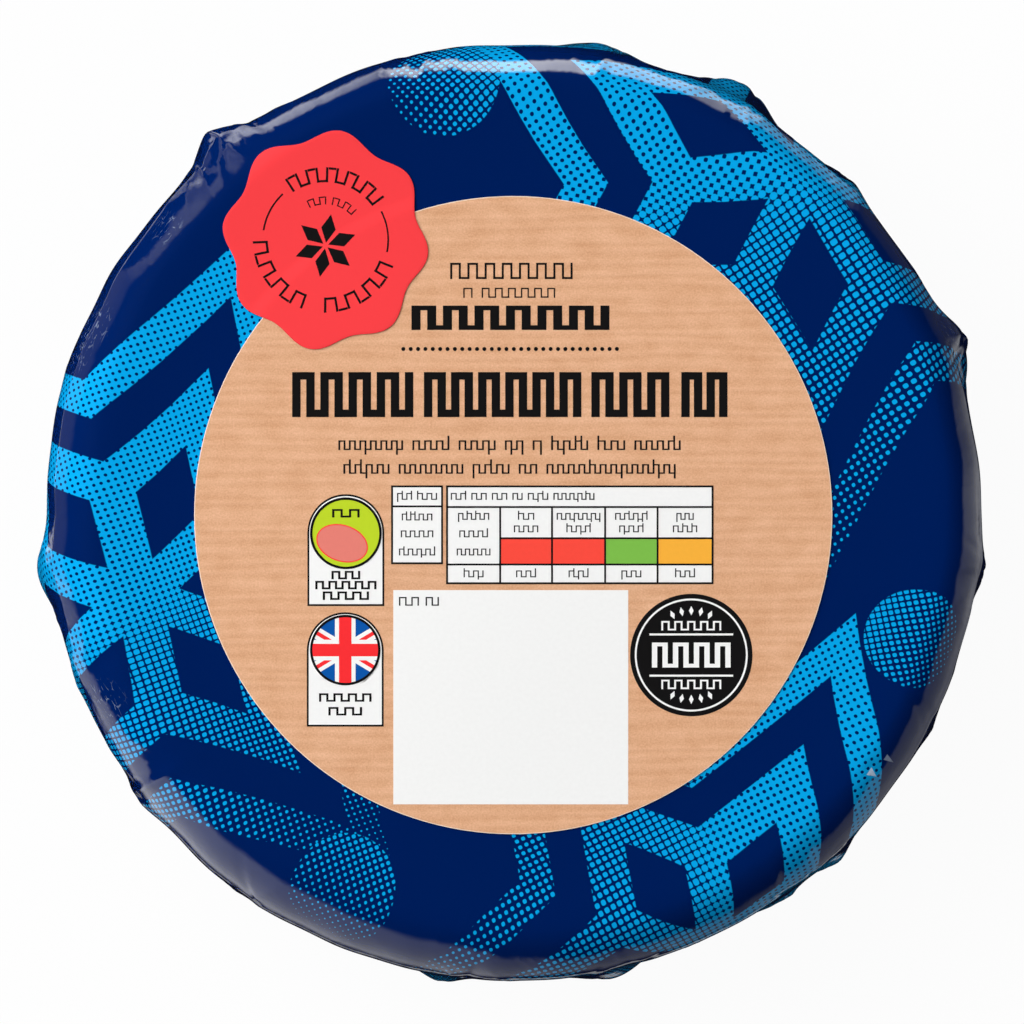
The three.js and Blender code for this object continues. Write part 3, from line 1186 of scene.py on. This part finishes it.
class Print:  # all the ink of one colour on one sheet of paper
    def __init__(self, name):
        self.name = name
        self.marks = []

    def note(self, add, x, y, layer, *shape):
        lift = ink["lift"] * (len(self.marks) % ink["liftSteps"])
        self.marks.append((add, (x, y, layer * ink["layer"] + lift), shape))

    def block(self, x, y, width, height, layer=1, turn=0):
        self.note(addBlock, x, y, layer, width, height, turn)

    def disc(self, x, y, width, layer=1, height=None, turn=0, sides=ink["discSides"]):
        self.note(addDisc, x, y, layer, width, height or width, turn, sides)

    def ring(self, x, y, radius, width, layer=1):
        self.note(addRing, x, y, layer, radius, width)

    def frame(self, panel, layer):
        x, y, width, height = boxOf(panel)
        line = ink["line"]
        for edge in (panel["top"], panel["bottom"]):
            self.block(x, edge, width + line, line, layer)
        for edge in (panel["left"], panel["right"]):
            self.block(edge, y, line, height, layer)

    def words(self, path, total, letters, style, layer=1, draw=None):
        # in place of lettering, each word is a square wave: upright strokes that are joined at
        # the top and at the foot by turns; a space is as wide as one letter
        stroke, pitch, height, pen, rise = style
        wide = total / (sum(letters) + len(letters) - 1)
        start = 0
        for count in letters:
            strokes = max(2, round(count * wide / pitch))
            step = (count * wide - stroke) / (strokes - 1)
            for index in range(strokes):
                along = start + stroke / 2 + step * index
                longer = rise if draw and draw.random() < ink["longerStrokes"] else 0
                x, y, turn = path(along, longer / 2 * (
                    draw.choice(ink["risesAndDrops"]) if longer else 1))
                self.block(x, y, stroke, height + longer, layer, turn)
                if index:
                    up = (height - pen) / 2 * (1 if index % 2 else -1)
                    x, y, turn = path(along - step / 2, up)
                    self.block(x, y, step - stroke * ink["joint"], pen, layer, turn)
            start += (count + 1) * wide

    def finish(self, x, y, scale, surface, slot, spacing):
        # the plates are cut across every few millimetres, so that they can follow the paper
        deselectAll()
        bpy.ops.object.add(type="MESH", enter_editmode=True)
        piece = bpy.context.object
        piece.name = piece.data.name = "print_" + self.name
        for add, place, shape in self.marks:
            add(place, *shape)
        bpy.ops.object.mode_set(mode="OBJECT")
        points = readPoints(piece)
        low, high = points.min(axis=0), points.max(axis=0)
        bpy.ops.object.mode_set(mode="EDIT")
        for axis, normal in ((0, (1, 0, 0)), (1, (0, 1, 0))):
            for at in np.arange(low[axis] + spacing, high[axis], spacing):
                bpy.ops.mesh.select_all(action="SELECT")
                bpy.ops.mesh.bisect(plane_co=tuple(at * value for value in normal),
                                    plane_no=normal)
        bpy.ops.object.mode_set(mode="OBJECT")
        writePoints(piece, readPoints(piece) * np.array((scale, scale, 1)))
        movePiece(piece, x, y)
        layDown(piece, surface)
        colour = ink[self.name.split("_")[-1]]
        finishPiece(piece, plainMaterial("ink_" + self.name, colour, ink["roughness"]))
        print("ink", self.name + ":", len(piece.data.polygons), "faces")


# a style of print: stroke width, pitch and height, width of the joining strokes, and how far
# some strokes rise or drop past the rest
styles = {
    "heading": (0.33, 1.3, 2.6, 0.33, 0),
    "underHeading": (0.22, 0.95, 1.6, 0.22, 0),
    "bold": (1.45, 2.35, 3.9, 0.75, 0),
    "title": (1.35, 2.1, 7.2, 1.2, 0),
    "body": (0.3, 0.82, 1.55, 0.22, 0.75),
    "panel": (0.2, 0.62, 1.1, 0.17, 0.35),
    "dateBox": (0.23, 0.8, 1.4, 0.2, 0),
    "arch": (0.36, 1.0, 1.35, 0.3, 0),
    "badge": (0.3, 0.95, 1.5, 0.26, 0),
    "badgeTitle": (0.85, 1.65, 4.0, 0.6, 0),
    "sealRing": (0.36, 1.5, 2.4, 0.36, 0),
    "sealLine": (0.18, 0.72, 1.25, 0.18, 0),
}

labelText = (
    # left, right, middle height, letters in each word, style
    (-10.1, 9.5, 39.1, (8,), "heading"),
    (-8.0, 6.7, 35.6, (1, 8), "underHeading"),
    (-16.3, 15.4, 31.6, (9,), "bold"),
    (-35.4, -16.0, 19.3, (6,), "title"),
    (-14.3, 10.9, 19.3, (7,), "title"),
    (12.5, 25.0, 19.3, (4,), "title"),
    (26.9, 34.3, 19.3, (3,), "title"),
    (-28.0, 26.8, 11.2, (7, 4, 4, 2, 1, 4, 3, 5), "body"),
    (-27.2, 26.0, 7.4, (5, 7, 4, 2, 14), "body"),
)
dotRow = {"left": -17.6, "right": 16.6, "y": 26.6, "count": 30, "size": 0.66}
smallPanel = {
    "left": -19.4, "right": -11.4, "top": 4.6, "rule": 1.4, "bottom": -7.7,
    "lines": ((3.0, 6.4, (3, 4)), (-0.3, 4.9, (1,)), (-3.0, 5.2, (1,)), (-5.9, 5.8, (1,))),
}
figuresPanel = {
    "left": -10.6, "right": 31.9, "top": 4.6, "headerRule": 1.3, "cellTop": -3.7,
    "cellBottom": -7.9, "bottom": -10.9, "columns": (-2.1, 6.2, 14.7, 23.1),
    "cells": ("red", "red", "green", "amber"),
    "widths": (5.0, 2.6, 7.0, 5.2, 2.8),  # of each column's first line
    "firstLine": -0.2,
    "sideLines": ((-3.0, 4.6), (-5.9, 5.4), (-9.4, 3.2)),  # height and width of the others
    "cellLines": ((-2.2, 3.9), (-9.4, 3.2)),
    "header": (-10.0, 3.0, 23.0, (3, 3, 3, 2, 4, 8)),  # left, height, width, letters
}
archPanels = (
    {"x": -26.8, "top": 3.2, "bottom": -14.4, "halfWidth": 6.0, "disc": 5.55, "drop": 6.1,
     "lines": ((4.6, -9.6), (9.8, -11.2), (7.4, -12.9))},
    {"x": -26.9, "top": -15.7, "bottom": -33.7, "halfWidth": 6.0, "disc": 5.45, "drop": 5.9,
     "lines": ((8.4, -29.2), (5.4, -31.4))},
)
oval = {"x": -0.6, "y": -1.6, "size": (8.1, 5.5), "outlined": (8.5, 5.9), "turn": -18}
ovalLine = {"x": -2.2, "y": 3.2, "width": 4.4}  # both from the middle of the disc
flag = {"reach": 0.985, "turn": 31, "diagonals": (1.9, 0.62), "cross": (3.3, 2.0)}
dateBox = {
    "left": -19.2, "right": 18.4, "top": -12.0, "bottom": -46.3,
    "line": (-18.3, -13.8, 6.4, (3, 2)),
}
badge = {
    "x": 28.5, "y": -22.4, "radius": 9.8, "ring": 8.9, "line": 0.3,
    "rule": 13.4, "ruleAt": 3.3, "ruleLine": 0.32,
    "diamonds": (-25, -12.5, 0, 12.5, 25), "diamondAt": 7.1, "diamondSize": (0.75, 1.5),
    "texts": ((0, 12.6, "badgeTitle"), (4.7, 9.6, "badge"), (-4.7, 9.6, "badge")),
}
sealPrint = {
    "tilt": -10, "ringRadius": 10.4,
    "topSpan": 88, "topLetters": (4,), "bottomSpan": 158, "bottomLetters": (4, 4),
    "arcRadius": 10.0, "arcSpan": 38, "arcLine": 0.26, "arcAt": (18, 162), "arcSteps": 14,
    "arcOverlap": 1.06, "lineRadius": 6.3, "lineSpan": 72, "lineLetters": (3, 4),
    "petals": 6, "petalLong": 4.6, "petalWide": 2.3, "petalAt": 2.75, "petalsY": -0.9,
}


def printDots(black):
    step = (dotRow["right"] - dotRow["left"]) / (dotRow["count"] - 1)
    for dot in range(dotRow["count"]):
        black.disc(dotRow["left"] + step * dot, dotRow["y"], dotRow["size"],
                   sides=ink["dotSides"])


def centredLine(sheet, x, y, width, style, layer, draw, letters=(1,)):
    sheet.words(straight(x - width / 2, y), width, letters, styles[style], layer, draw)


def printPanels(sheets, draw):
    black, white = sheets["black"], sheets["white"]
    for box in (smallPanel, figuresPanel, dateBox):
        white.block(*boxOf(box))
    panel = smallPanel
    middle, _, across, _ = boxOf(panel)
    black.frame(panel, 2)
    black.block(middle, panel["rule"], across, ink["line"], 2)
    for y, width, letters in panel["lines"]:
        centredLine(black, middle, y, width, "panel", 2, draw, letters)
    panel = figuresPanel
    middle, _, across, _ = boxOf(panel)
    black.frame(panel, 4)
    black.block(middle, panel["headerRule"], across, ink["line"], 4)
    for column in panel["columns"]:
        black.block(column, (panel["headerRule"] + panel["bottom"]) / 2,
                    ink["line"], panel["headerRule"] - panel["bottom"], 4)
    for y, left in ((panel["cellTop"], panel["columns"][0]),
                    (panel["cellBottom"], panel["left"])):
        black.block((left + panel["right"]) / 2, y, panel["right"] - left, ink["line"], 4)
    left, y, width, letters = panel["header"]
    black.words(straight(left, y), width, letters, styles["panel"], 2, draw)
    edges = (panel["left"], *panel["columns"], panel["right"])
    for column, (left, right) in enumerate(zip(edges, edges[1:])):
        centre = (left + right) / 2
        lines = panel["cellLines"] if column else panel["sideLines"]
        if column:
            sheets[panel["cells"][column - 1]].block(
                centre, (panel["cellTop"] + panel["cellBottom"]) / 2,
                right - left, panel["cellTop"] - panel["cellBottom"], 2)
        for y, width in ((panel["firstLine"], panel["widths"][column]), *lines):
            centredLine(black, centre, y, width, "panel", 2, draw)
    left, y, width, letters = dateBox["line"]
    black.words(straight(left, y), width, letters, styles["dateBox"], 2)


def printArches(sheets):
    black, white = sheets["black"], sheets["white"]
    for arch in archPanels:
        x, half, line = arch["x"], arch["halfWidth"], ink["line"]
        shoulder = arch["top"] - half
        middle = (shoulder + arch["bottom"]) / 2
        black.disc(x, shoulder, 2 * half + line)
        black.block(x, middle, 2 * half + line, shoulder - arch["bottom"] + line)
        white.disc(x, shoulder, 2 * half - line, 3)
        white.block(x, middle, 2 * half - line, shoulder - arch["bottom"] - line, 3)
        black.ring(x, arch["top"] - arch["drop"], arch["disc"],
                   line * ink["ringLine"], 9)
        for width, y in arch["lines"]:
            centredLine(black, x, y, width, "arch", 5, None)
    first, second = archPanels
    discY = first["top"] - first["drop"]
    sheets["lime"].disc(first["x"], discY, 2 * first["disc"], 5)
    for colour, size, layer in (("red", "outlined", 6), ("pink", "size", 7)):
        width, height = oval[size]
        sheets[colour].disc(first["x"] + oval["x"], discY + oval["y"], width, layer, height,
                            oval["turn"])
    black.words(straight(first["x"] + ovalLine["x"], discY + ovalLine["y"]),
                ovalLine["width"], (3,), styles["arch"], 6)
    printFlag(sheets, second["x"], second["top"] - second["drop"], second["disc"])


def printFlag(sheets, x, y, radius):
    # a flag in a disc: white and red diagonals under a white-edged red cross
    long = 2 * radius * flag["reach"]
    sheets["blue"].disc(x, y, 2 * radius, 4)
    for turn in (flag["turn"], -flag["turn"]):
        for colour, wide, layer in zip(("white", "crimson"), flag["diagonals"], (5, 6)):
            sheets[colour].block(x, y, long, wide, layer, turn)
    for colour, wide, layer in zip(("white", "crimson"), flag["cross"], (7, 8)):
        sheets[colour].block(x, y, wide, long, layer)
        arm = radius - wide / 2
        for side in (1, -1):
            sheets[colour].block(x + side * (wide + arm) / 2, y, arm, wide, layer)


def printBadge(sheets):
    x, y = badge["x"], badge["y"]
    white = sheets["white"]
    sheets["black"].disc(x, y, 2 * badge["radius"], sides=ink["wideDiscSides"])
    white.ring(x, y, badge["ring"], badge["line"], 3)
    wide, high = badge["diamondSize"]
    for side in (1, -1):
        white.block(x, y + side * badge["ruleAt"], badge["rule"], badge["ruleLine"], 3)
        for turn in badge["diamonds"]:
            aside, up = around(badge["diamondAt"], 90 + turn)
            white.disc(x + aside, y + side * up, wide, 3, high, side * turn, 4)
    for up, width, style in badge["texts"]:
        centredLine(white, x, y + up, width, style, 3, None)


def printLabel():
    draw = random.Random(ink["seed"])
    sheets = {name: Print(name) for name in (
        "black", "white", "red", "crimson", "green", "amber", "lime", "pink", "blue")}
    for left, right, y, letters, style in labelText:
        sheets["black"].words(
            straight(left, y), right - left, letters, styles[style], draw=draw)
    printDots(sheets["black"])
    printPanels(sheets, draw)
    printArches(sheets)
    printBadge(sheets)
    scale = labelRadius / ink["drawnRadius"]
    for sheet in sheets.values():
        sheet.finish(labelOffset["x"], labelOffset["y"], scale, layOnLabel, "kraft_paper",
                     ink["cuts"]["label"])


def printSeal():
    black = Print("seal_black")
    radius, tilt = sealPrint["ringRadius"], sealPrint["tilt"]
    for path, middle, start, side in (
            (overArc, 90, 0.5, "top"), (underArc, 270, -0.5, "bottom")):
        span = sealPrint[side + "Span"]
        black.words(path(radius, middle + tilt + start * span), radius * math.radians(span),
                    sealPrint[side + "Letters"], styles["sealRing"])
    steps = sealPrint["arcSteps"]
    length = sealPrint["arcRadius"] * math.radians(sealPrint["arcSpan"] / steps)
    length *= sealPrint["arcOverlap"]
    for at in sealPrint["arcAt"]:
        for step in range(steps):
            turn = at + tilt + sealPrint["arcSpan"] * ((step + 0.5) / steps - 0.5)
            black.block(*around(sealPrint["arcRadius"], turn), sealPrint["arcLine"], length, 1,
                        turn)
    for petal in range(sealPrint["petals"]):
        turn = 90 + tilt + petal * 360 / sealPrint["petals"]
        x, y = around(sealPrint["petalAt"], turn)
        black.disc(x, sealPrint["petalsY"] + y, sealPrint["petalLong"], 1,
                   sealPrint["petalWide"], turn, 4)
    radius, span = sealPrint["lineRadius"], sealPrint["lineSpan"]
    black.words(overArc(radius, 90 + tilt + span / 2), radius * math.radians(span),
                sealPrint["lineLetters"], styles["sealLine"])
    black.finish(sealOffset.x, sealOffset.y, 1, layOnSeal, "seal_paper", ink["cuts"]["seal"])


# Floor, light and camera.

studio = {
    "floorSize": 12.0,  # in metres
    "floorDrop": 0.3,  # just under the pack's base
    "floorColour": (0.035, 0.035, 0.035, 1),
    "floorSeen": 0.955,  # its own glow as the camera sees it
    "floorGlow": 0.36,  # and as the pack sees it
    "floorShade": 0.45,  # what is left of both in the shade under the pack
    "shadeFrom": 75.0,
    "shadeTo": 60.0,
    "backdrop": 1.0,
    "skyLow": 0.066,
    "skyHigh": 0.33,
    "keyAt": 150,  # direction and height of the main light on the colours
    "keyHeight": 40,
    "keyTightness": 8,
    "keyGlow": 6.2,
    "dim": 0.004,
    "cardRadius": 71.0,  # a black card close over the top, which only reflections show
    "cardLift": 0.7,
    # soft boxes seen in the film stand all round it, joined to a ring: at each direction the
    # heights between which the ring shines, its softness, in degrees, and its brightness
    "ring": (
        (0, -52, 14, 7, 1.0),
        (10, -60, 4, 7, 0.55),
        (20, -60, -5, 8, 0.12),
        (41, -60, 0, 8, 0.1),
        (45, -60, 12, 8, 0.6),
        (50, -42, -12, 6, 0.4),
        (57, -38, -6, 5, 1.5),
        (62, -36, 14, 6, 3.0),
        (74, -30, 14, 6, 4.4),
        (82, -10, 34, 6, 7.4),
        (88, 4, 44, 6, 9.3),
        (96, 3, 36, 6, 9.6),
        (104, -24, 3, 7, 7.0),
        (108, -42, -6, 8, 1.6),
        (123, -24, 0, 5, 5.0),
        (127, -62, -8, 5, 2.2),
        (131, -30, 25, 9, 0.4),
        (138, 8, 42, 6, 1.1),
        (144, 4, 34, 6, 0.9),
        (151, -30, 10, 6, 0.3),
        (188, -40, -8, 6, 0.25),
        (197, -38, -6, 6, 1.1),
        (206, -42, -12, 6, 1.3),
        (213, -44, 2, 6, 1.7),
        (217, -54, 22, 8, 1.85),
        (242, -56, 27, 8, 1.15),
        (264, -54, 20, 9, 0.8),
        (274, -50, -5, 8, 0.4),
        (300, -56, -20, 9, 0.18),
        (318, -62, 2, 6, 0.4),
        (343, -60, 20, 6, 0.48),
        (360, -52, 14, 7, 1.0),
    ),
    # thin bright edges of the boxes, in the same way
    "rims": (
        (0, -71, -65, 1.5, 0.0),
        (132, -55, -18, 5, 0.0),
        (136, -55, -18, 5, 1.3),
        (140, -45, -28, 2, 0.3),
        (146, -34, -30, 1.5, 2.2),
        (152, -36, -32, 1.5, 2.4),
        (165, -45, -41, 1.5, 1.0),
        (177, -46, -42, 1.5, 2.0),
        (183, -46, -42, 1.5, 0.0),
        (212, -71, -65, 1.5, 0.0),
        (218, -71, -65, 1.5, 0.5),
        (342, -71, -65, 1.5, 0.5),
        (348, -71, -65, 1.5, 0.0),
        (360, -71, -65, 1.5, 0.0),
    ),
    "brightest": 10.0,
}


def addFloor():
    deselectAll()
    bpy.ops.mesh.primitive_plane_add(
        size=studio["floorSize"], location=(0, 0, -studio["floorDrop"] * mm))
    floor = bpy.context.object
    floor.name = "floor"
    bpy.ops.object.transform_apply(location=True, rotation=True, scale=True)
    material, wire, shader = newMaterial("pale_floor", studio["floorColour"], 1, 0)
    path = wire.node("ShaderNodeLightPath")
    x, y, _ = objectPlace(wire)
    clear = (x * x + y * y).maths("SQRT").within(studio["shadeTo"], studio["shadeFrom"])
    lit = clear * (1 - studio["floorShade"]) + studio["floorShade"]
    glow = path * (studio["floorSeen"] - studio["floorGlow"]) + studio["floorGlow"]
    plug(glow * lit, shader, "Emission Color")
    shader.inputs["Emission Strength"].default_value = 1
    behind = wire.node("ShaderNodeNewGeometry", None, None, "Backfacing")
    nothing = wire.node("ShaderNodeBsdfTransparent")
    mixed = wire.node("ShaderNodeMixShader", None, {
        0: behind, 1: Wire(material.node_tree, shader.outputs[0]), 2: nothing})
    plug(mixed, material.node_tree.nodes["Material Output"], "Surface")
    floor.data.materials.append(material)
    floor.visible_glossy = False


def addCard():
    # keeps the glare of the far box off the flat top where that is seen at a low angle
    deselectAll()
    bpy.ops.mesh.primitive_circle_add(
        vertices=64, radius=studio["cardRadius"] * mm, fill_type="NGON",
        location=(packAt.x * mm, packAt.y * mm, (form["height"] + studio["cardLift"]) * mm))
    card = bpy.context.object
    card.name = "black_card"
    bpy.ops.object.transform_apply(location=True, rotation=True, scale=True)
    card.data.materials.append(newMaterial("black_card", (0, 0, 0, 1), 1, 0)[0])
    for others in ("camera", "diffuse", "transmission", "shadow"):
        setattr(card, "visible_" + others, False)


def ringShine(azimuth, height, rows):
    # heights from -90 to 90 and the rest are brought to 0 to 1 for the ramp
    brightest = studio["brightest"]
    low, high, glow, soft = azimuth.ramp([
        (degrees / 360, (low + 90) / 180, (high + 90) / 180, glow / brightest, soft / 90)
        for degrees, low, high, soft, glow in rows])
    level = height / 180 + 0.5
    reach = soft * 0.5
    lower = level.within(low - reach, low + reach)
    upper = level.within(high - reach, high + reach)
    return lower * (1 - upper) * glow * brightest


def addLight():
    world = bpy.data.worlds.new("studio")
    bpy.context.scene.world = world
    world.use_nodes = True
    world.cycles.sampling_method = "NONE"
    wire = Wire(world.node_tree)
    x, y, z = wire.node("ShaderNodeTexCoord", None, None, "Generated").parts()
    azimuth = (y.maths("ARCTAN2", x) / fullTurn).maths("WRAP", 1.0, 0.0)
    height = z.maths("ARCSINE") * (180 / math.pi)
    glow = ringShine(azimuth, height, studio["ring"]) + ringShine(azimuth, height, studio["rims"])
    path = wire.node("ShaderNodeLightPath").socket.node
    glossy = Wire(world.node_tree, path.outputs["Is Glossy Ray"])
    camera = Wire(world.node_tree, path.outputs["Is Camera Ray"])
    up = z.maths("MAXIMUM", 0.0)
    at, rise = math.radians(studio["keyAt"]), math.radians(studio["keyHeight"])
    towards = (x * (math.cos(rise) * math.cos(at)) + y * (math.cos(rise) * math.sin(at))
               + z * math.sin(rise)).maths("MAXIMUM", 0.0)
    key = towards.maths("POWER", studio["keyTightness"]) * studio["keyGlow"]
    sky = up * up * studio["skyHigh"] + key + studio["skyLow"]
    strength = (glossy * (glow + studio["dim"]) + camera * studio["backdrop"]
                + (1 - glossy - camera).clamp() * sky)
    background = world.node_tree.nodes["Background"]
    background.inputs["Color"].default_value = (1, 1, 1, 1)
    plug(strength, background, "Strength")


view = {
    "distance": 3000.0,  # a long lens from straight above
    "across": 164.1,  # what the picture spans at the height of the rim
    "rimHeight": 31.0,
    "x": -0.2,
    "y": 0.1,
    "sensor": 36.0,
}


def addCamera():
    data = bpy.data.cameras.new("camera")
    camera = bpy.data.objects.new("camera", data)
    bpy.context.scene.collection.objects.link(camera)
    data.sensor_width = view["sensor"]
    data.lens = view["sensor"] * view["distance"] / view["across"]
    camera.location = ((packAt.x + view["x"]) * mm, (packAt.y + view["y"]) * mm,
                       (view["rimHeight"] + view["distance"]) * mm)
    camera.rotation_euler = (0, 0, 0)
    bpy.context.scene.camera = camera
    bpy.context.scene.view_settings.view_transform = "Standard"


addFloor()
addCard()
addLight()
addCamera()
addFilm()
addLabel()
addSeal()
printLabel()
printSeal()
